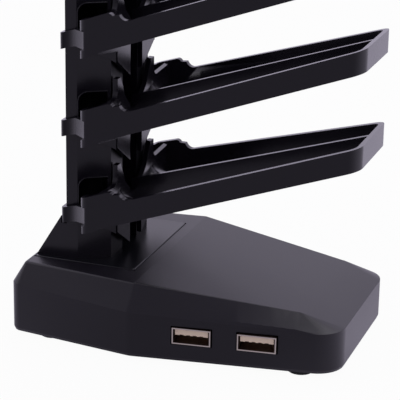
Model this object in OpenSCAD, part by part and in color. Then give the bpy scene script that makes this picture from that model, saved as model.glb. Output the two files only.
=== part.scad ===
// Tower stand for game controllers: a wedge base with two sockets on its near side, a column
// with windows in its slanting cheeks, and tapering open arms that hook round the column.
// Millimetres. +X points from the column to the arms' tips, +Z is up, and the side with the
// sockets is -Y. The origin lies on the table, below the middle of the whole stand. Pieces are
// drawn with x counted from the base's widest point, and centred() then moves them.

/* [Base] */
// length from the rear wall to the widest point
base_rear = 46.2; // [42:0.5:55]
// length from the widest point to the front wall
base_front = 69.7; // [60:0.5:90]
// half the width at the rear wall
half_rear = 34.9; // [32:0.2:38]
// half the width at the widest point
half_mid = 40.9; // [38:0.2:48]
// half the width at the front wall
half_front = 32.3; // [26:0.5:36]
// height of the upright wall at the rear
wall_h_rear = 17.7; // [14:0.2:19]
// height of the upright wall at the front
wall_h_front = 14.5; // [14:0.2:16]
// height of the flat part of the roof
roof_h = 25.2; // [23:0.2:28]
// height of the roof where its front slope ends
crease_h = 19; // [17:0.2:21]
// thickness of the moulded walls
wall = 2.2; // [1.8:0.1:2.6]

/* [Sockets] */
// width of a socket's steel shell
port_w = 13.1; // [13.1:0.1:13.2]
// height of a socket's steel shell
port_h = 5.7; // [5.7:0.1:5.8]
// distance between the two sockets' centres
port_pitch = 22; // [19:0.1:24]
// distance of the first socket from the base's widest point, along the wall
port_start = 21.4; // [19:0.1:24]
// height of the sockets' centres above the housing's lower edge
port_z = 9.6; // [9.4:0.1:10.2]

/* [Column] */
// half the width across the column's rear strips
column_half = 23.3; // [22.8:0.1:23.6]
// half the width of the column's front face
column_front_half = 17; // [16.6:0.1:17.4]
// width of the open channel in the column's front
channel_w = 13.4; // [12:0.2:15]

/* [Arms] */
// number of arms
arm_count = 3; // [1:1:5]
// height between one arm and the next
arm_pitch = 30.1; // [28:0.1:45]
// height of the rails' upper edge above the table, at the column's front face, lowest arm
arm_first = 50; // [48:0.1:60]
// upward tilt of an arm, in degrees
arm_tilt = 18.2; // [15:0.1:19]
// how much less the lowest arm is tilted, in degrees
lowest_droop = 1.4; // [0:0.1:2]
// how far the arms reach past the column's front face
arm_reach = 86.5; // [60:1:100]
// height of a rail
rail_h = 7.8; // [7:0.1:9]
// thickness of a rail
rail_t = 2.0; // [1.6:0.1:2.4]
// half the arm's width where it meets the column's front face
arm_half_root = 34.9; // [34.8:0.1:36]
// half the arm's width at its tip
arm_half_tip = 17.4; // [15:0.2:22]

/* [Hidden] */
$fn = 48;
fit = 0.3;
seat = 0.05;
eps = 0.01;

// feet and the housing's lower edge
foot_h = 1.5;
z0 = foot_h;

// places along the roof
roof_rear_x = -base_rear + 3.9;
roof_half_rear = half_rear - 3;
roof_half_mid = half_mid - 4.2;
crease_x = base_front - 14.2;
crease_half = half_front - 5.1;
corner_rear = 4;
corner_mid = 9;
corner_front = 10;
edge_round = 1.2;
lower_round = 1.5;
wall_h_mid = (wall_h_rear + wall_h_front)/2;

// long side wall that carries the sockets
side_angle = atan2(half_mid - half_front, base_front);
port_len = 13.6;
port_gap = 0.45;
port_proud = 0.25;
shell_t = 0.45;

// shallow recess in the roof, round the column
recess_d = 0.9;
recess_rear_x = -41;
recess_front_x = -3.8;
recess_half = 25.8;
floor_z = z0 + roof_h - recess_d;

// column
column_rear_x = -29.8;
strip_x = -25.7;
column_front_x = -16;
column_wall = 2;
channel_depth = 8;
channel_half = channel_w/2;
column_floor = 4;
brace_h = 17.4;
brace_reach = 11.4;
window_h = 14.6;
window_round = 3;
window_top = 5.8;
cap_t = 3;
column_top = arm_first + (arm_count - 1)*arm_pitch + 12;

// bottom cover, circuit boards and screws
cover_t = 2;
cover_gap = 0.3;
board_t = 1.6;
board_top = z0 + port_z - port_h/2;
board_l = 46;
board_w = 22;
boss_r = 3.4;
screw_r = 1.5;
screw_gap = 0.2;
screw_head_r = 2.7;
screw_head_h = 1;
screw_sink = 1.2;
cover_screw_len = 9;
column_screw_len = 5;
cover_screws_at = [[-18, half_mid - 9.2], [-18, 9.2 - half_mid],
                   [base_front - 7.5, half_front - 13], [base_front - 7.5, 13 - half_front]];
column_screws_at = [[-23.4, 14], [-23.4, -14], [-33.6, 0]];
foot_r = 4.8;
foot_rear_x = -33;
foot_front_x = base_front - 14;

// inlet at the rear
inlet_w = 7.6;
inlet_h = 3.9;
inlet_len = 9;
inlet_board_x = -base_rear + wall + 0.6;
inlet_board_l = 13;
inlet_z = board_top + inlet_h/2;
wire_t = 1;

// arms
rail_angle = atan2(arm_half_root - arm_half_tip, arm_reach);
tab_rise = 4.3;
tab_front_x = 7.4;
tab_step = 4.4;
clamp_rear_x = -1.2;
lobe_drop = 0.5;
end_round = 1.7;
tip_round = 4;
rib_t = 1.6;
strap_h = 5.6;
strap_t = 1.4;
strap_top = -0.1;
yoke_t = 1.8;
hook_l = 6;
hook_t = strap_t + 2*fit;
notch_z = arm_first + (column_rear_x - hook_t - column_front_x)*tan(arm_tilt - lowest_droop)
    + strap_top - strap_h - fit;
yoke_gap = 0.6;

// moves a piece from the base's widest point to the middle of the whole stand
module centred() {
    front_x = max(base_front, column_front_x + arm_reach);
    translate([(base_rear - front_x)/2, 0, 0]) children();
}

// one upright corner of the housing, rounded at its lower edge, inset by g
module post(x, y, r, h, g, low) {
    rr = max(r - g, 0.6);
    translate([x, y, 0]) rotate_extrude($fn = 40)
        polygon([[0, low], [rr - (low > 0 ? 0 : lower_round), low],
                 [rr - (low > 0 ? 0 : lower_round*0.3), low + (low > 0 ? 0 : lower_round*0.3)],
                 [rr, low + (low > 0 ? 0 : lower_round)], [rr, h], [0, h]]);
}

// soft corner of the roof
module knob(x, y, z, g) {
    translate([x, y, z - edge_round - g]) sphere(r = edge_round, $fn = 20);
}

// the housing's outer form, or its hollow when inset by g
module housing(g, low) {
    hull() for (s = [-1, 1]) {
        post(-base_rear + corner_rear, s*(half_rear - corner_rear), corner_rear, wall_h_rear - g/2, g, low);
        post(0, s*(half_mid - corner_mid), corner_mid, wall_h_mid - g/2, g, low);
        post(base_front - corner_front, s*(half_front - corner_front), corner_front, wall_h_front - g/2, g, low);
        knob(roof_rear_x + edge_round + g, s*(roof_half_rear - edge_round - g), roof_h, g);
        knob(0, s*(roof_half_mid - edge_round - g), roof_h, g);
        knob(crease_x - g/2, s*(crease_half - edge_round - g), crease_h, g);
    }
}

// outline of the housing's floor, inset by g
module floor_outline(g) {
    hull() for (s = [-1, 1]) {
        translate([-base_rear + corner_rear, s*(half_rear - corner_rear)]) circle(r = corner_rear - g);
        translate([0, s*(half_mid - corner_mid)]) circle(r = corner_mid - g);
        translate([base_front - corner_front, s*(half_front - corner_front)]) circle(r = corner_front - g);
    }
}

// frame of the near side wall: x along the wall from the widest point, y into the housing
module on_side_wall() {
    translate([0, -half_mid, z0]) rotate([0, 0, side_angle]) children();
}

module port_places() {
    for (i = [0, 1]) translate([port_start + i*port_pitch, 0, 0]) children();
}

// Upper housing

module base_shell() {
    color("#1b1b1e") centred() difference() {
        union() {
            translate([0, 0, z0]) difference() {
                housing(0, 0);
                housing(wall, -1);
            }
            intersection() {
                for (p = cover_screws_at) translate([p[0], p[1], z0 + cover_t])
                    cylinder(r = boss_r, h = roof_h);
                translate([0, 0, z0]) housing(wall/2, -1);
            }
        }
        // recess round the column
        translate([recess_rear_x, -recess_half, floor_z])
            cube([recess_front_x - recess_rear_x, 2*recess_half, recess_d + 1]);
        // openings of the sockets and of the inlet
        on_side_wall() port_places()
            translate([-port_w/2 - port_gap, -3, port_z - port_h/2 - port_gap])
                cube([port_w + 2*port_gap, wall + 5, port_h + 2*port_gap]);
        translate([-base_rear - 1, -inlet_w/2 - fit, inlet_z - inlet_h/2 - fit])
            cube([wall + 2, inlet_w + 2*fit, inlet_h + 2*fit]);
        // bores for the column's screws and pilot bores in the bosses
        for (p = column_screws_at) translate([p[0], p[1], z0 + roof_h - 6])
            cylinder(r = screw_r + screw_gap, h = 8);
        for (p = cover_screws_at) translate([p[0], p[1], z0])
            cylinder(r = screw_r + screw_gap, h = cover_t + cover_screw_len);
    }
}

// Bottom cover with its feet and screws

module bottom_cover() {
    color("#161618") centred() difference() {
        union() {
            translate([0, 0, z0]) linear_extrude(cover_t) floor_outline(wall + cover_gap);
            on_side_wall() board_posts() translate([0, 0, cover_t - eps])
                cylinder(r = 2.4, h = port_z - port_h/2 - board_t - cover_t + eps);
            for (y = [-6.5, 6.5]) translate([inlet_board_x + 7, y, z0 + cover_t - eps])
                cylinder(r = 2, h = board_top - board_t - z0 - cover_t + eps);
        }
        for (p = cover_screws_at) translate([p[0], p[1], z0 - 1]) {
            cylinder(r = screw_r + screw_gap, h = 6);
            cylinder(r = screw_head_r + screw_gap, h = 1 + screw_sink);
        }
        on_side_wall() board_posts() translate([0, 0, cover_t - 1]) cylinder(r = 0.9, h = 8);
    }
}

module board_posts() {
    for (x = [port_start + port_pitch/2 - board_l/2 + 4, port_start + port_pitch/2 + board_l/2 - 4])
        translate([x, wall + 1 + board_w - 4, 0]) children();
}

module screw(r, head_r, head_h, len) {
    difference() {
        union() {
            cylinder(r = head_r, h = head_h, $fn = 32);
            translate([0, 0, head_h - eps]) cylinder(r = r, h = len, $fn = 24);
        }
        for (a = [0, 90]) rotate([0, 0, a]) translate([-head_r*0.6, -0.25, -1])
            cube([head_r*1.2, 0.5, 1.8]);
    }
}

module cover_screws() {
    color("#9a9ca0") centred() for (p = cover_screws_at) translate([p[0], p[1], z0 + screw_sink - screw_head_h])
        screw(screw_r, screw_head_r, screw_head_h, cover_screw_len);
}

module foot_pad(x, y) {
    color("#0c0c0d") centred() translate([x, y, 0]) rotate_extrude()
        polygon([[0, 0], [foot_r - 0.6, 0], [foot_r, 0.5], [foot_r, foot_h], [0, foot_h]]);
}

module foot_rear_left() { foot_pad(foot_rear_x, half_rear - 6.6); }
module foot_rear_right() { foot_pad(foot_rear_x, 6.6 - half_rear); }
module foot_front_left() { foot_pad(foot_front_x, half_front - 6.2); }
module foot_front_right() { foot_pad(foot_front_x, 6.2 - half_front); }

// Circuit board with the two sockets

module hub_board() {
    color("#1d5a3a") centred() on_side_wall() difference() {
        translate([port_start + port_pitch/2 - board_l/2, wall + 1, port_z - port_h/2 - board_t])
            cube([board_l, board_w, board_t]);
        board_posts() translate([0, 0, -1]) cylinder(r = 1.2, h = 20);
    }
}

module hub_chip() {
    color("#141416") centred() on_side_wall() {
        translate([port_start + port_pitch/2 - 3.5, wall + 1 + board_w - 7.6, port_z - port_h/2])
            cube([7, 6, 1.2]);
        for (k = [0:5]) translate([port_start + port_pitch/2 - 3 + k*1.1, wall + board_w - 7.4, port_z - port_h/2])
            cube([0.4, 8, 0.3]);
    }
}

module board_screws() {
    color("#9a9ca0") centred() on_side_wall() board_posts()
        translate([0, 0, port_z - port_h/2 + 1]) mirror([0, 0, 1]) screw(0.9, 1.9, 1, 5);
}

module socket_shell() {
    color("#c9c6c0") centred() on_side_wall() translate([0, -port_proud, port_z]) difference() {
        translate([-port_w/2, 0, -port_h/2]) cube([port_w, port_len, port_h]);
        translate([-port_w/2 + shell_t, -1, -port_h/2 + shell_t])
            cube([port_w - 2*shell_t, port_len, port_h - 2*shell_t]);
    }
}

module socket_tongue() {
    color("#e3d5cf") centred() on_side_wall() translate([0, -port_proud, port_z]) difference() {
        union() {
            translate([-5.6, 0.9, 0.15]) cube([11.2, port_len - 3, 1.9]);
            translate([-port_w/2 + shell_t + seat, port_len - 4, -port_h/2 + shell_t + seat])
                cube([port_w - 2*shell_t - 2*seat, 3 - seat, port_h - 2*shell_t - 2*seat]);
        }
        for (k = [-1.5:1:1.5]) translate([k*2.2 - 0.65, 0.5, 0])
            cube([1.3, port_len - 5, 0.35]);
    }
}

module socket_contacts() {
    color("#c8a045") centred() on_side_wall() translate([0, -port_proud, port_z])
        for (k = [-1.5:1:1.5]) translate([k*2.2 - 0.5, 1.6, 0.15]) cube([1, port_len - 6.1, 0.35]);
}

module shifted_port(i) {
    c = [cos(side_angle), sin(side_angle)];
    d = port_start + (i - 1)*port_pitch;
    translate([c[0]*d, c[1]*d, 0]) children();
}

module socket_shell_1() { shifted_port(1) socket_shell(); }
module socket_shell_2() { shifted_port(2) socket_shell(); }
module socket_tongue_1() { shifted_port(1) socket_tongue(); }
module socket_tongue_2() { shifted_port(2) socket_tongue(); }
module socket_contacts_1() { shifted_port(1) socket_contacts(); }
module socket_contacts_2() { shifted_port(2) socket_contacts(); }

// Inlet at the rear and the wires from it to the hub board

module inlet_board() {
    color("#1d5a3a") centred() translate([inlet_board_x, -9, board_top - board_t])
        cube([inlet_board_l, 18, board_t]);
}

module inlet_shell() {
    color("#c9c6c0") centred() translate([-base_rear + 0.4, 0, inlet_z]) difference() {
        translate([0, -inlet_w/2, -inlet_h/2]) cube([inlet_len, inlet_w, inlet_h]);
        translate([-1, -inlet_w/2 + 0.35, -inlet_h/2 + 0.35])
            cube([inlet_len + 0.2, inlet_w - 0.7, inlet_h - 0.7]);
    }
}

module inlet_tongue() {
    color("#101012") centred() translate([-base_rear + 0.4, 0, inlet_z]) {
        translate([1, -2.7, -0.4]) cube([inlet_len - 3, 5.4, 0.9]);
        translate([inlet_len - 3.2, -inlet_w/2 + 0.35, -inlet_h/2 + 0.35])
            cube([2.4, inlet_w - 0.7, inlet_h - 0.7]);
    }
}

module hub_wires() {
    rear_x = inlet_board_x + inlet_board_l - 2;
    turn_x = 14;
    end_y = -half_mid + turn_x*tan(side_angle) + wall + board_w - 1;
    color("#27272b") centred() translate([0, 0, board_top]) for (k = [-1.5:1:1.5]) {
        y = k*1.8;
        x = turn_x - y;
        translate([rear_x, y - wire_t/2, 0]) cube([x - rear_x + wire_t/2, wire_t, wire_t]);
        translate([x - wire_t/2, end_y - y*tan(side_angle), 0])
            cube([wire_t, y + wire_t/2 - end_y + y*tan(side_angle), wire_t]);
    }
}

// Column

function column_outline() = [
    [column_rear_x, -column_half], [strip_x, -column_half], [column_front_x, -column_front_half],
    [column_front_x, -channel_half], [column_front_x - channel_depth, -channel_half],
    [column_front_x - channel_depth, channel_half], [column_front_x, channel_half],
    [column_front_x, column_front_half], [strip_x, column_half], [column_rear_x, column_half]];

// hollow behind one cheek of the column
function chamber_outline(g) = [
    [column_rear_x + column_wall + g, channel_half + column_wall + g],
    [column_front_x - column_wall - g, channel_half + column_wall + g],
    [column_front_x - column_wall - g, column_front_half - column_wall/2 - 1.2*g],
    [strip_x - column_wall/4 - g/3, column_half - column_wall - g],
    [column_rear_x + column_wall + g, column_half - column_wall - g]];

module both_sides() {
    children();
    mirror([0, 1, 0]) children();
}

// the window behind each arm's root, cut through a cheek and its front corner
module window(z_top) {
    cheek = atan2(column_half - column_front_half, column_front_x - strip_x);
    len = norm([column_front_x - strip_x, column_half - column_front_half]);
    r = window_round;
    translate([strip_x, -column_half, z_top]) rotate([0, 0, cheek]) rotate([90, 0, 0])
        translate([0, 0, -5]) linear_extrude(10)
            polygon(concat([[len - 1.2, -window_h], [len - 1.2, 0]],
                [for (a = [90:10:180]) [0.6 + r + r*cos(a), -r + r*sin(a)]], [[0.6, -window_h]]));
}

module column() {
    color("#17171a") centred() difference() {
        union() {
            translate([0, 0, floor_z]) linear_extrude(column_top - floor_z) polygon(column_outline());
            // rear brace down to the recess's rear edge
            translate([0, column_half, floor_z]) rotate([90, 0, 0]) linear_extrude(2*column_half)
                polygon([[column_rear_x + eps, 0], [column_rear_x - brace_reach, 0],
                         [column_rear_x - brace_reach, 0.8], [column_rear_x - 1.2, brace_h],
                         [column_rear_x + eps, brace_h + 1.6]]);
        }
        both_sides() translate([0, 0, floor_z + column_floor]) linear_extrude(column_top)
            polygon(chamber_outline(0));
        both_sides() for (i = [0:arm_count - 1])
            window(arm_first + i*arm_pitch + window_top);
        // notches in the brace for the lowest arm's hooks
        both_sides() translate([column_rear_x - hook_t, -column_half - 1, notch_z])
            cube([hook_t, hook_l + 1 + fit, brace_h]);
        for (p = column_screws_at) translate([p[0], p[1], floor_z - 1])
            cylinder(r = screw_r + screw_gap, h = 1 + column_floor + 2);
    }
}

module column_screws() {
    color("#9a9ca0") centred() for (p = column_screws_at)
        translate([p[0], p[1], z0 + roof_h - wall - screw_head_h])
            screw(screw_r, screw_head_r, screw_head_h, column_screw_len);
}

module column_cap() {
    color("#17171a") centred() {
        translate([0, 0, column_top]) linear_extrude(cap_t) polygon([
            [column_rear_x, -column_half], [strip_x, -column_half],
            [column_front_x, -column_front_half], [column_front_x, column_front_half],
            [strip_x, column_half], [column_rear_x, column_half]]);
        both_sides() translate([0, 0, column_top - 3]) linear_extrude(3 + eps)
            polygon(chamber_outline(0.2));
    }
}

// Arms. Each is one moulding: two rails, a middle rib, a tip plate, a yoke in front of the
// column and two straps that hook round its rear corners. x runs from the column's front face.

// height of the tilted upper plane at x
function up(x, tilt) = x*tan(tilt);

// Side profile of an arm: a lobe and a raised tab at the rear, a soft step down to the tilted
// upper edge, then straight to the tip. Drawn in x and z.
function side_profile(tilt) = let (x0 = clamp_rear_x - 4, xt = tab_front_x, xs = tab_front_x + tab_step) concat(
    [[x0, up(x0, tilt) - rail_h - lobe_drop], [x0, up(x0, tilt) + tab_rise]],
    [for (a = [110:-20:30]) [xt - 1.6 + 1.6*cos(a), up(xt - 1.6, tilt) + tab_rise - 1.6 + 1.6*sin(a)]],
    [for (a = [200:14:270 + tilt]) [xs + 2.6*cos(a), up(xs, tilt) + 2.7 + 2.6*sin(a)]],
    [[arm_reach + 5, up(arm_reach + 5, tilt)], [arm_reach + 5, up(arm_reach + 5, tilt) - rail_h],
     [4, up(4, tilt) - rail_h], [0, up(0, tilt) - rail_h - lobe_drop]]);

// a wall that follows a path in plan: the outline of a strip of thickness t
function unit(v) = v/norm(v);
function side_of(p, i) = let (
    a = p[max(i - 1, 0)], b = p[min(i + 1, len(p) - 1)], u = unit(b - a)) [-u[1], u[0]];
function strip(p, t) = concat(
    [for (i = [0:len(p) - 1]) p[i] + side_of(p, i)*t/2],
    [for (i = [len(p) - 1:-1:0]) p[i] - side_of(p, i)*t/2]);

// slab between two heights, measured from the arm's tilted upper plane
module tilted_slab(low, high, tilt) {
    x0 = column_rear_x - column_front_x - 10;
    x1 = arm_reach + 10;
    translate([0, arm_half_root + 10, 0]) rotate([90, 0, 0]) linear_extrude(2*arm_half_root + 20)
        polygon([[x0, up(x0, tilt) + low], [x1, up(x1, tilt) + low],
                 [x1, up(x1, tilt) + high], [x0, up(x0, tilt) + high]]);
}

// upright wall whose upper and lower edges follow the arm's tilt
module tilted_wall(outline, low, high, tilt) {
    intersection() {
        translate([0, 0, -60]) linear_extrude(160) polygon(outline);
        tilted_slab(low, high, tilt);
    }
}

// point on the middle of a rail at x; arms are drawn on the -Y side and mirrored
function on_rail(x) = [x, -arm_half_root + x*tan(rail_angle) + rail_t/2/cos(rail_angle)];
rail_dir = [cos(rail_angle), sin(rail_angle)];
rail_in = [-sin(rail_angle), cos(rail_angle)];

// round corner of a path: centre c, radius r, from angle a to angle b
function bend(c, r, a, b, n) = [for (k = [0:n]) let (t = a + (b - a)*k/n) c + r*[cos(t), sin(t)]];

// path of half an arm's band: rear end turned inward, rail, rounded corner, tip plate
function band_path() = let (
    c0 = on_rail(clamp_rear_x) + end_round*rail_in,
    x1 = arm_reach - rail_t/2 - tip_round,
    c1 = [x1, on_rail(x1)[1] + tip_round/cos(rail_angle)]) concat(
        [[c0[0] - end_round, c0[1] + 1.6]],
        bend(c0, end_round, 180, 270 + rail_angle, 6),
        bend(c1, tip_round, -90 + rail_angle, 0, 6),
        [[x1 + tip_round, 0.1]]);

// a strap's path, from inside the rail, out by the slot and round the column's rear corner
function strap_path() = let (
    c = [column_rear_x - column_front_x - fit - strap_t/2, -column_half - fit - strap_t/2],
    y = -arm_half_root + rail_t) concat(
        [[1.5, y + 0.3], [-2.5, y + 0.8], [-8.5, c[1] - 1.5], [c[0] + 3, c[1]]],
        [for (a = [-105:-15:-180]) [c[0] + 1.5 + 1.5*cos(a), c[1] + 1.5 + 1.5*sin(a)]],
        [[c[0], -column_half + hook_l]]);

// half of the yoke: an upright plate in front of the column, with a slanting inner upper edge
// and a pointed fang that reaches down beside the channel
module yoke_half(tilt) {
    outer = arm_half_root - rail_t/2;
    translate([yoke_gap, 0, up(yoke_gap, tilt)]) rotate([90, 0, 90]) linear_extrude(yoke_t)
        polygon([[-outer, tab_rise - 0.3], [-outer, -rail_h], [-17, -10.6], [-17, -14],
                 [-5.4, -21.4], [-5.4, -1.4], [-9.5, 1.8], [-20.8, tab_rise - 0.3]]);
}

// sloping web that stiffens the corner between the rails, the yoke and the middle rib
module root_web(tilt) {
    y = arm_half_root - rail_t;
    x1 = 9;
    intersection() {
        translate([0, 0, -60]) linear_extrude(160)
            polygon([[yoke_gap, -y], [13, -y + 13*tan(rail_angle)], [x1, 0.1 - rib_t], [x1, 0.1], [yoke_gap, 0.1]]);
        translate([0, arm_half_root, 0]) rotate([90, 0, 0]) linear_extrude(2*arm_half_root)
            polygon([[yoke_gap, up(0, tilt) + 1.6], [8, up(8, tilt) - 4.2], [14, up(14, tilt) - 6.2],
                     [14, up(14, tilt) - rail_h + 0.1], [8, up(8, tilt) - 5.8], [yoke_gap, up(0, tilt) - 0.4]]);
    }
}

module arm(tilt) {
    color("#131316") centred() both_sides() {
        difference() {
            intersection() {
                translate([0, 0, -60]) linear_extrude(160) polygon(strip(band_path(), rail_t));
                translate([0, 5, 0]) rotate([90, 0, 0])
                    linear_extrude(arm_half_root + 10) polygon(side_profile(tilt));
            }
            // slot in the rear end that lets the strap out
            tilted_wall([[clamp_rear_x - 6, -arm_half_root - 5], [clamp_rear_x - 1, -arm_half_root - 5],
                         [clamp_rear_x - 1, 0], [clamp_rear_x - 6, 0]],
                        strap_top - strap_h, strap_top + 1, tilt);
        }
        tilted_wall(strip(strap_path(), strap_t), strap_top - strap_h, strap_top, tilt);
        yoke_half(tilt);
        root_web(tilt);
        tilted_wall([[yoke_gap, -rib_t/2], [arm_reach - rail_t/2, -rib_t/2],
                     [arm_reach - rail_t/2, 0.1], [yoke_gap, 0.1]], -rail_h, 0, tilt);
    }
}

module placed_arm(i) {
    translate([column_front_x, 0, arm_first + (i - 1)*arm_pitch])
        arm(arm_tilt - (i == 1 ? lowest_droop : 0));
}

base_shell();
bottom_cover();
cover_screws();
foot_rear_left();
foot_rear_right();
foot_front_left();
foot_front_right();
hub_board();
hub_chip();
board_screws();
socket_shell_1();
socket_shell_2();
socket_tongue_1();
socket_tongue_2();
socket_contacts_1();
socket_contacts_2();
inlet_board();
inlet_shell();
inlet_tongue();
hub_wires();
column();
column_screws();
column_cap();
for (i = [1:arm_count]) placed_arm(i);
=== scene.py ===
"""Controller stand: how it looks. Sizes are in millimetres, and finished meshes in metres."""
import math

import bmesh
import bpy
from mathutils import Matrix, Vector


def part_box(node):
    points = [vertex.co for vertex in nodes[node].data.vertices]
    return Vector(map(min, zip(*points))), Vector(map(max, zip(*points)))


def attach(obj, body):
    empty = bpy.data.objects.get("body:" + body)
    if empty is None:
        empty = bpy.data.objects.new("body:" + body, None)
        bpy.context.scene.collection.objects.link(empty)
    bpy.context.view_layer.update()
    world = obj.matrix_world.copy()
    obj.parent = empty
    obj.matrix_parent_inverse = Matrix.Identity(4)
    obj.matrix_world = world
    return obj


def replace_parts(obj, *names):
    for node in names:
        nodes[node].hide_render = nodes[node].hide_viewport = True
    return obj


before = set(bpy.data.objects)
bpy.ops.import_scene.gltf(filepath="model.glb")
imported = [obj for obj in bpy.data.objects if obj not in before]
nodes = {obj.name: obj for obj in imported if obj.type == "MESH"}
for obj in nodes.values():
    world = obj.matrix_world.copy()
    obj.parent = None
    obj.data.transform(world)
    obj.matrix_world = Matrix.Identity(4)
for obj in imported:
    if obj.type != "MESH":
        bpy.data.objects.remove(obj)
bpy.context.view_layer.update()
MM = 0.001


# Shader maths as Python expressions

class Sock:
    """One output of a shader node. Sums and products of it add Math nodes."""

    def __init__(self, shading, out):
        self.shading, self.out = shading, out

    def math(self, operation, first, second):
        return self.shading.node("ShaderNodeMath", {"operation": operation}, [first, second])

    def __add__(self, other):
        return self.math("ADD", self, other)

    def __radd__(self, other):
        return self.math("ADD", other, self)

    def __sub__(self, other):
        return self.math("SUBTRACT", self, other)

    def __rsub__(self, other):
        return self.math("SUBTRACT", other, self)

    def __mul__(self, other):
        return self.math("MULTIPLY", self, other)

    def __rmul__(self, other):
        return self.math("MULTIPLY", other, self)

    def clamp(self):
        return self.shading.node("ShaderNodeClamp", {}, {"Value": self, "Min": 0.0, "Max": 1.0})


class Shading:
    """The node tree of a material or of the room."""

    def __init__(self, owner):
        owner.use_nodes = True
        self.tree = owner.node_tree
        self.tree.nodes.clear()

    def node(self, kind, settings=None, inputs=None, output=0):
        """Adds a node with its settings and its sockets' values or links. Gives one output."""
        made = self.tree.nodes.new(kind)
        for key, value in (settings or {}).items():
            setattr(made, key, value)
        pairs = inputs.items() if isinstance(inputs, dict) else enumerate(inputs or [])
        for key, value in pairs:
            if isinstance(value, Sock):
                self.tree.links.new(value.out, made.inputs[key])
            else:
                made.inputs[key].default_value = value
        return Sock(self, made.outputs[output]) if made.outputs else None


# Finishes

# Places of the colour sockets in a Mix node
MIX_FACTOR, MIX_DARK, MIX_LIGHT, MIX_RESULT = 0, 6, 7, 2


class Finish(Shading):
    """A material with one Principled shader."""

    def __init__(self, name, colour):
        self.colour = colour
        self.material = bpy.data.materials.new(name)
        self.material.diffuse_color = (*colour, 1.0)
        super().__init__(self.material)

    def tinted(self, factor):
        """The material's colour, darker or lighter."""
        return (*(part * factor for part in self.colour), 1.0)

    def noise(self, scale, detail, roughness=0.5, stretch=(1.0, 1.0, 1.0)):
        """Noise fixed to the piece, with scale in features to the metre."""
        spot = self.node("ShaderNodeTexCoord", output="Object")
        spot = self.node("ShaderNodeMapping", {}, {"Vector": spot, "Scale": stretch})
        return self.node("ShaderNodeTexNoise", {}, {"Vector": spot, "Scale": scale,
                                                    "Detail": detail, "Roughness": roughness})

    def mix(self, factor, dark, light):
        return self.node("ShaderNodeMix", {"data_type": "RGBA"},
                         {MIX_FACTOR: factor, MIX_DARK: dark, MIX_LIGHT: light}, MIX_RESULT)

    def bump(self, height, depth):
        return self.node("ShaderNodeBump", {}, {"Height": height, "Strength": 1.0,
                                                "Distance": depth * MM})

    def shaded(self, sockets):
        """The material, with these values and links on the shader's own sockets."""
        shader = self.node("ShaderNodeBsdfPrincipled", {}, sockets)
        shader.out.node.inputs["Base Color"].default_value = (*self.colour, 1.0)
        self.node("ShaderNodeOutputMaterial", {}, {"Surface": shader})
        return self.material


PLASTIC_IOR = 1.49
DRIFT_SCALE, DRIFT_GLOSS, DRIFT_TINTS, GRAIN_GLOSS = 38.0, 0.05, (0.85, 1.2), 0.06
LINE_SCALE, LINE_GLOSS, LINE_TINTS, LINE_DEPTH = 900.0, 0.16, (0.86, 1.1), 0.01


def moulded(name, colour, rough, grain, depth, shine=0.5):
    """Moulded plastic: fine grain in the surface, and slow drifts of gloss and shade."""
    f = Finish(name, colour)
    drift = f.noise(DRIFT_SCALE, detail=4.0)
    fine = f.noise(grain, detail=2.0, roughness=0.6)
    return f.shaded({
        "Specular IOR Level": shine,
        "IOR": PLASTIC_IOR,
        "Roughness": (rough + (drift - 0.5) * DRIFT_GLOSS + (fine - 0.5) * GRAIN_GLOSS).clamp(),
        "Base Color": f.mix(drift, *(f.tinted(factor) for factor in DRIFT_TINTS)),
        "Normal": f.bump(fine, depth),
    })


def metal(name, colour, rough, fineness=(1.0, 1.0, 1.0)):
    """Metal with fine lines in its gloss and shade, closer together along the finer axis."""
    f = Finish(name, colour)
    lines = f.noise(LINE_SCALE, detail=3.0, roughness=0.6, stretch=fineness)
    return f.shaded({
        "Metallic": 1.0,
        "Roughness": (rough + (lines - 0.5) * LINE_GLOSS).clamp(),
        "Base Color": f.mix(lines, *(f.tinted(factor) for factor in LINE_TINTS)),
        "Normal": f.bump(lines, LINE_DEPTH),
    })


shell_black = moulded("shell_black", (0.0076, 0.0064, 0.0108), 0.38, grain=5200.0, depth=0.012)
gloss_black = moulded("gloss_black", (0.0052, 0.0042, 0.0076), 0.22, grain=3600.0, depth=0.004)
pocket_black = moulded("pocket_black", (0.004, 0.0042, 0.0068), 0.3, grain=3600.0, depth=0.004)
foot_rubber = moulded("foot_rubber", (0.012, 0.012, 0.012), 0.8, grain=2600.0, depth=0.02)
board_green = moulded("board_green", (0.02, 0.11, 0.05), 0.35, grain=2000.0, depth=0.01)
chip_black = moulded("chip_black", (0.02, 0.02, 0.02), 0.5, grain=5000.0, depth=0.01)
# A darker, duller copy of gloss_black on the arms' strap faces: painted shade
strap_painted_shade = moulded("strap_painted_shade", (0.0044, 0.0038, 0.0062), 0.2, grain=3600.0, depth=0.004,
                      shine=0.24)
# A near-black, dull copy of gloss_black on the column's front faces: painted shade
front_painted_shade = moulded("front_painted_shade", (0.002, 0.002, 0.003), 0.3, grain=3600.0, depth=0.004,
                     shine=0.12)
tongue_plastic = moulded("tongue_plastic", (0.98, 0.80, 0.60), 0.45, grain=3000.0, depth=0.01)
wire_black = moulded("wire_black", (0.03, 0.03, 0.032), 0.45, grain=1500.0, depth=0.01)
# A dark metal on the faces inside each socket's steel shell: painted shade
socket_shade = metal("socket_shade", (0.16, 0.11, 0.09), 0.45)
socket_steel = metal("socket_steel", (0.84, 0.76, 0.66), 0.3, fineness=(1.0, 1.0, 14.0))
screw_steel = metal("screw_steel", (0.5, 0.5, 0.52), 0.34)
contact_gold = metal("contact_gold", (0.83, 0.62, 0.25), 0.28)


# Closed forms

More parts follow.
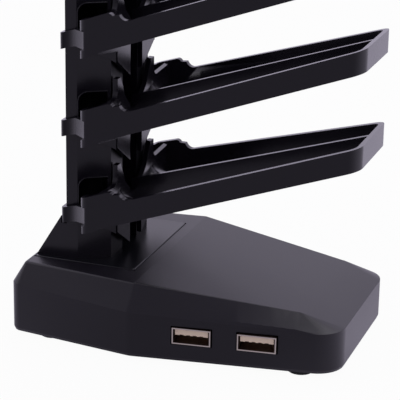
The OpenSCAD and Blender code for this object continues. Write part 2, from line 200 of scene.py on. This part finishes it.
# These stand an outline up, to face the stand's front or its near side
FACING_FRONT = Matrix(((0, 0, 1, 0), (1, 0, 0, 0), (0, 1, 0, 0), (0, 0, 0, 1)))
FACING_SIDE = Matrix(((1, 0, 0, 0), (0, 0, -1, 0), (0, 1, 0, 0), (0, 0, 0, 1)))

# Points closer than these are joined, after a copy, a carving or a spin
WELD, CARVED_WELD, SPUN_WELD, PLANE_SNAP = 0.004, 0.01, 0.001, 0.0001


def arc(cx, cy, r, start, end, step):
    """Points on an arc round (cx, cy), with its angles in degrees."""
    count = round(abs(end - start) / step)
    angles = [math.radians(start + (end - start) * k / count) for k in range(count + 1)]
    return [(cx + r * math.cos(a), cy + r * math.sin(a)) for a in angles]


def thickened(bm, step):
    """A closed form from the open faces in bm, thickened by step."""
    raised = bmesh.ops.extrude_face_region(bm, geom=list(bm.faces))["geom"]
    bmesh.ops.translate(bm, vec=step, verts=[v for v in raised if isinstance(v, bmesh.types.BMVert)])
    bmesh.ops.recalc_face_normals(bm, faces=bm.faces)
    return bm


def form(outline, depth, place=Matrix()):
    """A prism: an outline in X and Y, raised by depth along Z, then put in place."""
    bm = bmesh.new()
    bm.faces.new([bm.verts.new((x, y, 0.0)) for x, y in outline])
    thickened(bm, (0.0, 0.0, depth))
    bm.transform(place)
    return bm


def mirrored(bm):
    """The same form on the stand's other side."""
    twin = bm.copy()
    bmesh.ops.scale(twin, vec=(1.0, -1.0, 1.0), verts=twin.verts)
    bmesh.ops.reverse_faces(twin, faces=twin.faces)
    return twin


def gathered(forms, place):
    """One mesh in metres with all the forms in it."""
    whole = bmesh.new()
    for bm in forms:
        bm.transform(Matrix.Scale(MM, 4) @ place)
        part = bpy.data.meshes.new("form")
        bm.to_mesh(part)
        bm.free()
        whole.from_mesh(part)
        bpy.data.meshes.remove(part)
    return whole


def merged(bm, distance):
    bmesh.ops.remove_doubles(bm, verts=bm.verts, dist=distance * MM)
    bmesh.ops.dissolve_degenerate(bm, edges=bm.edges, dist=distance * MM)
    return bm


def welded(node):
    """A copy of a solid's mesh, with its loose triangles joined."""
    bm = bmesh.new()
    bm.from_mesh(nodes[node].data)
    return merged(bm, WELD)


def carved(bm, cutter):
    """The form bm without what lies inside the cutter."""
    pieces = []
    for shape in (bm, cutter):
        mesh = bpy.data.meshes.new("carving")
        shape.to_mesh(mesh)
        shape.free()
        piece = bpy.data.objects.new("carving", mesh)
        bpy.context.scene.collection.objects.link(piece)
        pieces.append(piece)
    cut = pieces[0].modifiers.new("cut", "BOOLEAN")
    cut.operation, cut.object, cut.solver = "DIFFERENCE", pieces[1], "EXACT"
    graph = bpy.context.evaluated_depsgraph_get()
    result = bmesh.new()
    result.from_mesh(pieces[0].evaluated_get(graph).to_mesh())
    for piece in pieces:
        bpy.data.meshes.remove(piece.data)
    return merged(result, CARVED_WELD)


def sliced(bm, spot, normal):
    """Cuts off what lies behind a plane, and closes the cut."""
    bmesh.ops.bisect_plane(bm, geom=[*bm.verts, *bm.edges, *bm.faces], dist=PLANE_SNAP,
                           clear_inner=True, plane_co=spot, plane_no=normal)
    bmesh.ops.holes_fill(bm, edges=[e for e in bm.edges if len(e.link_faces) == 1])


# Rounded mouldings, which come in place of the sharp solids or beside them

FLAT_ANGLE, SHARP_ANGLE, SHADING_ANGLE = 0.6, 28.0, 40.0


def moulding(name, bm, material, width, segments=2, sharp_angle=SHARP_ANGLE, patch=None,
             painted_shade_material=None):
    """The piece with this form and rounded sharp edges. Faces that patch picks get a second, darker
    material: painted shade.
    """
    bmesh.ops.dissolve_limit(bm, angle_limit=math.radians(FLAT_ANGLE), verts=bm.verts, edges=bm.edges)
    bm.normal_update()
    sharp = [e for e in bm.edges if len(e.link_faces) == 2
             and e.calc_face_angle(0.0) > math.radians(sharp_angle)]
    bmesh.ops.bevel(bm, geom=sharp, offset=width * MM, offset_type="OFFSET", affect="EDGES",
                    segments=segments, profile=0.5, material=-1, clamp_overlap=True)
    for face in bm.faces:
        face.smooth = True
        if patch and patch(face):
            face.material_index = 1
    mesh = bpy.data.meshes.new(name)
    bm.to_mesh(mesh)
    bm.free()
    mesh.materials.append(material)
    if painted_shade_material:
        mesh.materials.append(painted_shade_material)
    mesh.set_sharp_from_angle(angle=math.radians(SHADING_ANGLE))
    piece = bpy.data.objects.new(name, mesh)
    bpy.context.scene.collection.objects.link(piece)
    even = piece.modifiers.new("even_shading", "WEIGHTED_NORMAL")
    even.mode, even.weight, even.keep_sharp = "FACE_AREA", 50, True
    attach(piece, "root")
    return piece


# Sizes of the solids: outer ones from the frame, and inner ones as in the part's source

def reach(node, axis, end=1):
    """How far a solid reaches along an axis, to a hundredth, with end 0 for its lower end."""
    return round(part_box(node)[end][axis] / MM, 2)


# The source counts lengths from the base's middle, which lies SHIFT from the frame's zero
COLUMN_FRONT_X, COLUMN_FRONT_HALF = -16.0, 17.0
STRIP_X, COLUMN_HALF = -25.7, reach("column", 1)
SHIFT = round(reach("column", 0) - COLUMN_FRONT_X, 2)

# A cheek slants from the column's front to its rear strip, and the windows are cut in it
CHEEK_ANGLE = math.atan2(COLUMN_HALF - COLUMN_FRONT_HALF, COLUMN_FRONT_X - STRIP_X)
CHEEK_L = math.hypot(COLUMN_FRONT_X - STRIP_X, COLUMN_HALF - COLUMN_FRONT_HALF)
WINDOW_H, WINDOW_ROUND, WINDOW_TOP, WINDOW_REAR, WINDOW_FRONT = 14.6, 3.0, 5.8, 0.6, 1.2

ARM_NUMBERS = (1, 2, 3)
ARM_FIRST, ARM_TILT, LOWEST_DROOP = 50.0, 18.2, 1.4
ARM_PITCH = round(reach("arm_3", 2) - reach("arm_2", 2), 2)
ARM_HALF_ROOT, ARM_HALF_TIP, ARM_REACH = 34.9, 17.4, 86.5
RAIL_H, RAIL_T, RAIL_RISE, RIB_T = 7.8, 2.0, 4.0, 1.6
RAIL_ANGLE = math.atan2(ARM_HALF_ROOT - ARM_HALF_TIP, ARM_REACH)
YOKE_GAP, YOKE_T, FIT = 0.6, 1.8, 0.3

FOOT_H, ROOF_H, CREASE_H = reach("base_shell", 2, end=0), 25.2, 19.0
BASE_FRONT, CORNER_FRONT = round(reach("base_shell", 0) - SHIFT, 2), 10.0
HALF_MID, HALF_FRONT = reach("base_shell", 1), 32.3
WALL_H_MID, WALL_H_FRONT = 16.1, 14.5
ROOF_HALF_MID, CREASE_X, CREASE_HALF = HALF_MID - 4.2, BASE_FRONT - 14.2, HALF_FRONT - 5.1
WALL_SLOPE = (HALF_MID - HALF_FRONT) / BASE_FRONT
EDGE_ROUND = 1.2
POCKET_REAR, POCKET_FRONT, POCKET_HALF, POCKET_ROUND = -41.0, -3.8, 25.8, 1.2


# The base: its front flank is cut to its twisted form, and an inlay lies round the column

# The flank's cutter reaches past both of its edges, and stands out to the side and up
FLANK_STEPS, FLANK_LOW, FLANK_HIGH, FLANK_DEPTH = 16, -0.1, 1.25, (0.0, 5.5, 3.0)
INLAY_GAP, INLAY_SINK, INLAY_T = 0.25, 0.88, 1.1


def between(a, b, t):
    return a + (b - a) * t


def flank_point(t, out):
    """A point of the flank: t runs from the middle to the front, out from the wall to the roof."""
    x = between(0.0, BASE_FRONT - CORNER_FRONT, t)
    low = Vector((x, HALF_MID - WALL_SLOPE * x, between(WALL_H_MID, WALL_H_FRONT, t)))
    front_half = HALF_MID - WALL_SLOPE * (BASE_FRONT - CORNER_FRONT)
    lean = between(math.atan2(HALF_MID - ROOF_HALF_MID, ROOF_H - WALL_H_MID),
                   math.atan2(front_half - CREASE_HALF, CREASE_H - WALL_H_FRONT), t)
    high = Vector((between(0.0, CREASE_X, t),
                   between(ROOF_HALF_MID, CREASE_HALF, t) - EDGE_ROUND * (1 - math.cos(lean)),
                   between(ROOF_H, CREASE_H, t) - EDGE_ROUND * (1 - math.sin(lean))))
    return low.lerp(high, between(FLANK_LOW, FLANK_HIGH, out))


def above_flank():
    """What is cut off one side: its inner face is the flank, twisted between two straight edges."""
    bm = bmesh.new()
    bmesh.ops.create_grid(bm, x_segments=FLANK_STEPS, y_segments=1, size=0.5)
    for v in bm.verts:
        v.co = flank_point(v.co.x + 0.5, v.co.y + 0.5)
    return thickened(bm, FLANK_DEPTH)


def base():
    side = above_flank()
    cutter = gathered([side, mirrored(side)], Matrix.Translation((SHIFT, 0.0, FOOT_H)))
    piece = moulding("base_moulding", carved(welded("base_shell"), cutter), shell_black, 0.25,
                     sharp_angle=20.0)
    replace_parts(piece, "base_shell")


def pocket_inlay():
    """A glossy sheet on the floor of the recess round the column."""
    rear, front = POCKET_REAR + INLAY_GAP, POCKET_FRONT - INLAY_GAP
    half, r = POCKET_HALF - INLAY_GAP, POCKET_ROUND
    outline = [(rear, -half)] + arc(front - r, r - half, r, -90.0, 0.0, 15.0)
    outline += arc(front - r, half - r, r, 0.0, 90.0, 15.0) + [(rear, half)]
    floor_place = Matrix.Translation((SHIFT, 0.0, FOOT_H + ROOF_H - INLAY_SINK))
    moulding("pocket_inlay", gathered([form(outline, INLAY_T)], floor_place), pocket_black, 0.3,
             segments=4)


# The arms: each corner of the yoke has a plate with a fang, a post with a flared foot and a flange

PLATE_DROP, PLATE_DIP, DIP_ROUND = 10.6, 3.2, 2.6
FANG_START, FANG_DROP, FANG_INNER = 14.0, 21.4, 5.4
BRACE_DROP, BEND_HALF, BEND_RISE = 1.4, 9.5, 1.8
POST_RISE, POST_W, POST_CHAMFER_W, POST_CHAMFER_H = 10.0, 3.6, 0.6, 1.5
FOOT_FLARE, FOOT_NECK, FOOT_RIM, FOOT_DROP, FOOT_STEPS = 6.0, 1.0, 6.9, 4.5, 36
FOOT_REAR, FOOT_HALF = YOKE_GAP + 0.1, COLUMN_FRONT_HALF + 0.2
FLANGE_FRONT, FLANGE_REAR, FLANGE_TOP, FLANGE_LOW, FLANGE_T = 1.4, 6.0, 1.0, 14.2, 1.6
FLANGE_REAR_TOP, FLANGE_REAR_LOW, FLANGE_CURVE = 3.0, 11.0, [(-3.4, -11.9), (-1.0, -12.9)]
BRIDGE_OVERLAP, BRIDGE_TOP, BRIDGE_T = 0.1, 3.4, 1.7
ROOT_REAR, ROOT_FRONT, ROOT_LOW, ROOT_H = 0.5, 15.0, -35.0, 60.0
RIB_SKIN, RIB_REAR, RIB_FRONT = 0.02, YOKE_GAP + 0.2, ROOT_FRONT + 0.4
STRAP_FROM, STRAP_LIFT = COLUMN_FRONT_X + SHIFT - 4.5, 1.0


def inner_face(x):
    """Distance from the middle to the inner face of a rail."""
    return ARM_HALF_ROOT - RAIL_T / math.cos(RAIL_ANGLE) - x * math.tan(RAIL_ANGLE)


def arm_height(number):
    return ARM_FIRST + (number - 1) * ARM_PITCH


# In these forms, up is how far the arm has risen from the column to the yoke

def yoke_plate(up):
    outer, corner, post = ARM_HALF_ROOT - RAIL_T / 2, COLUMN_FRONT_HALF, POST_W - COLUMN_FRONT_HALF
    outline = [(-outer, RAIL_RISE), (-outer, -RAIL_H), (-corner, -PLATE_DROP), (-corner, -FANG_START),
               (-FANG_INNER, -FANG_DROP), (-FANG_INNER, -BRACE_DROP), (-BEND_HALF, BEND_RISE),
               (post, POST_RISE - POST_CHAMFER_H), (post - POST_CHAMFER_W, POST_RISE),
               (-corner, POST_RISE)]
    outline += arc(-corner - DIP_ROUND, PLATE_DIP + DIP_ROUND, DIP_ROUND, 0.0, -90.0, 10.0)
    return form(outline, YOKE_T, Matrix.Translation((YOKE_GAP, 0.0, up)) @ FACING_FRONT)


def post_foot(up):
    """A trumpet round the post's foot, in front of the plate and inside the column's corner."""
    bend = FOOT_NECK + FOOT_FLARE
    profile = [(0.0, 0.0), (FOOT_RIM, 0.0)]
    profile += arc(bend, bend, FOOT_FLARE, 260.0, 190.0, 10.0) + [(0.0, FOOT_FLARE)]
    bm = bmesh.new()
    points = [bm.verts.new((x, 0.0, z)) for x, z in profile]
    rim = [bm.edges.new(pair) for pair in zip(points, points[1:])]
    bmesh.ops.spin(bm, geom=points + rim, cent=(0, 0, 0), axis=(0, 0, 1), dvec=(0, 0, 0),
                   angle=math.radians(360), steps=FOOT_STEPS, use_merge=True)
    bmesh.ops.remove_doubles(bm, verts=bm.verts, dist=SPUN_WELD)
    middle = (YOKE_GAP + YOKE_T / 2, POST_W / 2 - COLUMN_FRONT_HALF, up - FOOT_DROP)
    bm.transform(Matrix.Translation(middle))
    sliced(bm, (FOOT_REAR, 0, 0), (1, 0, 0))
    sliced(bm, (0, -FOOT_HALF, 0), (0, 1, 0))
    bmesh.ops.recalc_face_normals(bm, faces=bm.faces)
    return bm


def cheek_flange():
    outline = [(FLANGE_FRONT, -FLANGE_LOW), (FLANGE_FRONT, -FLANGE_TOP),
               (-FLANGE_REAR, -FLANGE_REAR_TOP), (-FLANGE_REAR, -FLANGE_REAR_LOW), *FLANGE_CURVE]
    corner = Matrix.Translation((0.0, -COLUMN_FRONT_HALF, 0.0)) @ Matrix.Rotation(CHEEK_ANGLE, 4, "Z")
    return form(outline, FLANGE_T, corner @ Matrix.Translation((0.0, -FIT, 0.0)) @ FACING_SIDE)


def yoke_bridge(up):
    """Joins the two plates behind the rib."""
    half = FANG_INNER + BRIDGE_OVERLAP
    outline = [(-half, -RAIL_H), (half, -RAIL_H), (half, -BRIDGE_TOP), (-half, -BRIDGE_TOP)]
    return form(outline, BRIDGE_T, Matrix.Translation((YOKE_GAP, 0.0, up)) @ FACING_FRONT)


def rib_root(slope):
    """The rib's rear end, which the carving takes away with the rest of the root."""
    low, high = -RAIL_H - RIB_SKIN, RIB_SKIN
    outline = [(x, x * slope + z) for x, z in
               ((RIB_REAR, low), (RIB_FRONT, low), (RIB_FRONT, high), (RIB_REAR, high))]
    side = Matrix.Translation((0.0, RIB_T / 2 + RIB_SKIN, 0.0)) @ FACING_SIDE
    return form(outline, RIB_T + 2 * RIB_SKIN, side)


# Picks the strap faces, which get the painted shade
def on_strap(face):
    return face.calc_center_median().x < STRAP_FROM * MM


def arm(number):
    name = "arm_%d" % number
    slope = math.tan(math.radians(ARM_TILT - (LOWEST_DROOP if number == 1 else 0.0)))
    up = YOKE_GAP * slope
    place = Matrix.Translation((COLUMN_FRONT_X + SHIFT, 0.0, arm_height(number)))
    corners = [(x, side * inner_face(x)) for x, side in
               ((ROOT_REAR, -1), (ROOT_FRONT, -1), (ROOT_FRONT, 1), (ROOT_REAR, 1))]
    root = gathered([form(corners, ROOT_H, Matrix.Translation((0.0, 0.0, ROOT_LOW)))], place)
    bm = carved(welded(name), root)
    if number > 1:
        strap = [v for v in bm.verts if v.co.x < STRAP_FROM * MM]
        bmesh.ops.translate(bm, vec=(0.0, 0.0, STRAP_LIFT * MM), verts=strap)
    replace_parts(moulding(name + "_moulding", bm, gloss_black, 0.3, patch=on_strap,
                         painted_shade_material=strap_painted_shade), name)
    halves = [yoke_plate(up), post_foot(up), cheek_flange()]
    halves += [mirrored(bm) for bm in halves]
    details = gathered(halves + [yoke_bridge(up), rib_root(slope)], place)
    moulding(name + "_yoke", details, gloss_black, 0.3, sharp_angle=40.0)


# The column, with a raised lip up the rear edge of each window and along its top

LIP_W, LIP_PROUD, LIP_ROOT = 0.45, 0.4, 0.6

# A face counts as facing front from this cosine on, and gets painted shade
FACES_FRONT_FROM = 0.9


def window_lip(number):
    across, r = WINDOW_REAR + WINDOW_ROUND, WINDOW_ROUND
    outline = [(CHEEK_L - WINDOW_FRONT, LIP_W)] + arc(across, -r, r + LIP_W, 90.0, 180.0, 10.0)
    outline += [(WINDOW_REAR - LIP_W, -WINDOW_H), (WINDOW_REAR, -WINDOW_H)]
    outline += arc(across, -r, r, 180.0, 90.0, 10.0) + [(CHEEK_L - WINDOW_FRONT, 0.0)]
    corner = Matrix.Translation((STRIP_X, -COLUMN_HALF, arm_height(number) + WINDOW_TOP))
    cheek = corner @ Matrix.Rotation(CHEEK_ANGLE, 4, "Z") @ Matrix.Translation((0.0, LIP_ROOT, 0.0))
    return form(outline, LIP_PROUD + LIP_ROOT, cheek @ FACING_SIDE)


def faces_front(face):
    return face.normal.x > FACES_FRONT_FROM


def column():
    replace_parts(moulding("column_moulding", welded("column"), gloss_black, 0.3,
                         patch=faces_front, painted_shade_material=front_painted_shade), "column")
    lips = [window_lip(number) for number in ARM_NUMBERS]
    lips += [mirrored(bm) for bm in lips]
    moulding("window_lips", gathered(lips, Matrix.Translation((SHIFT, 0.0, 0.0))), gloss_black, 0.18,
             segments=3)
    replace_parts(moulding("column_cap_moulding", welded("column_cap"), gloss_black, 0.4), "column_cap")


# Sockets, with a bright rim and painted shade inside

# A face belongs to the bright rim where it looks the way the socket opens; the other faces get painted
# shade
SOCKET_WAY, RIM_FROM = Vector((WALL_SLOPE, -1.0, 0.0)).normalized(), 0.6


def inside_socket(face):
    return face.normal.dot(SOCKET_WAY) < RIM_FROM


def socket_rim(number):
    shell = "socket_shell_%d" % number
    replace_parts(moulding(shell + "_rim", welded(shell), socket_steel, 0.08, patch=inside_socket,
                         painted_shade_material=socket_shade), shell)


def plain_finishes():
    """Finishes of the solids that show as they are."""
    for finish, names in (
            (shell_black, ("bottom_cover",)),
            (screw_steel, ("cover_screws", "board_screws", "column_screws")),
            (foot_rubber, ("foot_rear_left", "foot_rear_right", "foot_front_left", "foot_front_right")),
            (board_green, ("hub_board", "inlet_board")),
            (chip_black, ("hub_chip", "inlet_tongue")),
            (tongue_plastic, ("socket_tongue_1", "socket_tongue_2")),
            (contact_gold, ("socket_contacts_1", "socket_contacts_2")),
            (socket_steel, ("inlet_shell",)),
            (wire_black, ("hub_wires",))):
        for name in names:
            nodes[name].data.materials.clear()
            nodes[name].data.materials.append(finish)


# Camera, fitted to the photograph's lines: angles in degrees, and the focal length in pixels

CAMERA_TURN, CAMERA_DOWN, CAMERA_ROLL = 19.257, 18.761, 0.976
CAMERA_SPOT = (188.08, -543.98, 241.27)
FOCAL_PIXELS, IMAGE_PIXELS, SENSOR_W = 1761.95, 400, 36.0


def camera():
    turn, down, roll = (math.radians(angle) for angle in (CAMERA_TURN, CAMERA_DOWN, CAMERA_ROLL))
    ahead = Vector((-math.sin(turn) * math.cos(down), math.cos(turn) * math.cos(down), -math.sin(down)))
    level = Vector((math.cos(turn), math.sin(turn), 0.0))
    above = level.cross(ahead)
    right = math.cos(roll) * level + math.sin(roll) * above
    upward = math.cos(roll) * above - math.sin(roll) * level
    data = bpy.data.cameras.new("camera")
    data.sensor_width = SENSOR_W
    data.lens = FOCAL_PIXELS / IMAGE_PIXELS * SENSOR_W
    data.clip_end = 20.0
    view = bpy.data.objects.new("camera", data)
    view.matrix_world = (Matrix.Translation(Vector(CAMERA_SPOT) * MM)
                         @ Matrix((right, upward, -ahead)).transposed().to_4x4())
    bpy.context.scene.collection.objects.link(view)
    bpy.context.scene.camera = view


# Floor, background and lamps, in metres

STUDIO_TINT = (0.87, 0.81, 1.0, 1.0)
FRONT_LIGHT, BACK_LIGHT, BACK_FROM = 0.37, 1.05, 0.15
FLOOR_WHITE, FLOOR_SIZE, ROOM_LIGHT = 0.96, 4.0, 0.4


class Studio(Shading):
    """The shader of the floor or the room."""

    def surroundings(self, direction):
        """What gloss shows, by direction in plan: dim on the camera's side, bright behind."""
        flat = self.node("ShaderNodeVectorMath", {"operation": "MULTIPLY"},
                         [direction, (1.0, 1.0, 0.0)])
        unit = self.node("ShaderNodeVectorMath", {"operation": "NORMALIZE"}, [flat])
        depth = self.node("ShaderNodeSeparateXYZ", {}, {"Vector": unit}, output="Y")
        return self.node("ShaderNodeMapRange", {"interpolation_type": "SMOOTHSTEP"},
                         {"Value": depth, "From Min": -1.0, "From Max": BACK_FROM,
                          "To Min": FRONT_LIGHT, "To Max": BACK_LIGHT})

    def ray(self, kind):
        return self.node("ShaderNodeLightPath", output=kind)

    def join(self, factor, first, second):
        return self.node("ShaderNodeMixShader", {}, [factor, first, second])


def floor():
    bm = bmesh.new()
    bmesh.ops.create_grid(bm, x_segments=1, y_segments=1, size=FLOOR_SIZE)
    mesh = bpy.data.meshes.new("floor")
    bm.to_mesh(mesh)
    bm.free()
    sheet = bpy.data.objects.new("floor", mesh)
    bpy.context.scene.collection.objects.link(sheet)
    material = bpy.data.materials.new("floor_white")
    mesh.materials.append(material)
    f = Studio(material)
    paper = f.node("ShaderNodeBsdfDiffuse", {}, {"Color": (0.86, 0.86, 0.86, 1.0)})
    white = f.node("ShaderNodeEmission", {}, {"Strength": 1.0})
    around = f.surroundings(f.node("ShaderNodeTexCoord", output="Object"))
    reflected = f.node("ShaderNodeEmission", {}, {"Color": STUDIO_TINT, "Strength": around})
    seen = f.join(f.ray("Is Camera Ray") * FLOOR_WHITE, paper, white)
    shown = f.join(f.ray("Is Glossy Ray"), seen, reflected)
    f.node("ShaderNodeOutputMaterial", {}, {"Surface": shown})


def room():
    world = bpy.data.worlds.new("studio")
    bpy.context.scene.world = world
    w = Studio(world)
    soft = w.node("ShaderNodeBackground", {}, {"Color": STUDIO_TINT, "Strength": ROOM_LIGHT})
    white = w.node("ShaderNodeBackground", {}, {"Color": (1.0, 1.0, 1.0, 1.0), "Strength": 1.0})
    around = w.surroundings(w.node("ShaderNodeTexCoord", output="Generated"))
    reflected = w.node("ShaderNodeBackground", {}, {"Color": STUDIO_TINT, "Strength": around})
    seen = w.join(w.ray("Is Camera Ray"), soft, white)
    shown = w.join(w.ray("Is Glossy Ray"), seen, reflected)
    w.node("ShaderNodeOutputWorld", {}, {"Surface": shown})


def lamp(name, place, target, size, power):
    data = bpy.data.lights.new(name, "AREA")
    data.shape, data.energy = "RECTANGLE", power
    data.size, data.size_y = size
    light = bpy.data.objects.new(name, data)
    light.location = place
    light.rotation_euler = (Vector(target) - Vector(place)).to_track_quat("-Z", "Y").to_euler()
    bpy.context.scene.collection.objects.link(light)


# The stand and its studio

base()
pocket_inlay()
for number in ARM_NUMBERS:
    arm(number)
column()
for number in (1, 2):
    socket_rim(number)
plain_finishes()
camera()
floor()
room()
lamp("softbox_top", (0.15, 0.35, 1.0), (0.0, 0.0, 0.0), (0.9, 0.7), power=3.0)
lamp("softbox_left", (-0.9, -0.3, 0.7), (0.0, 0.0, 0.06), (0.5, 0.7), power=1.5)
bpy.context.scene.view_settings.view_transform = "Standard"
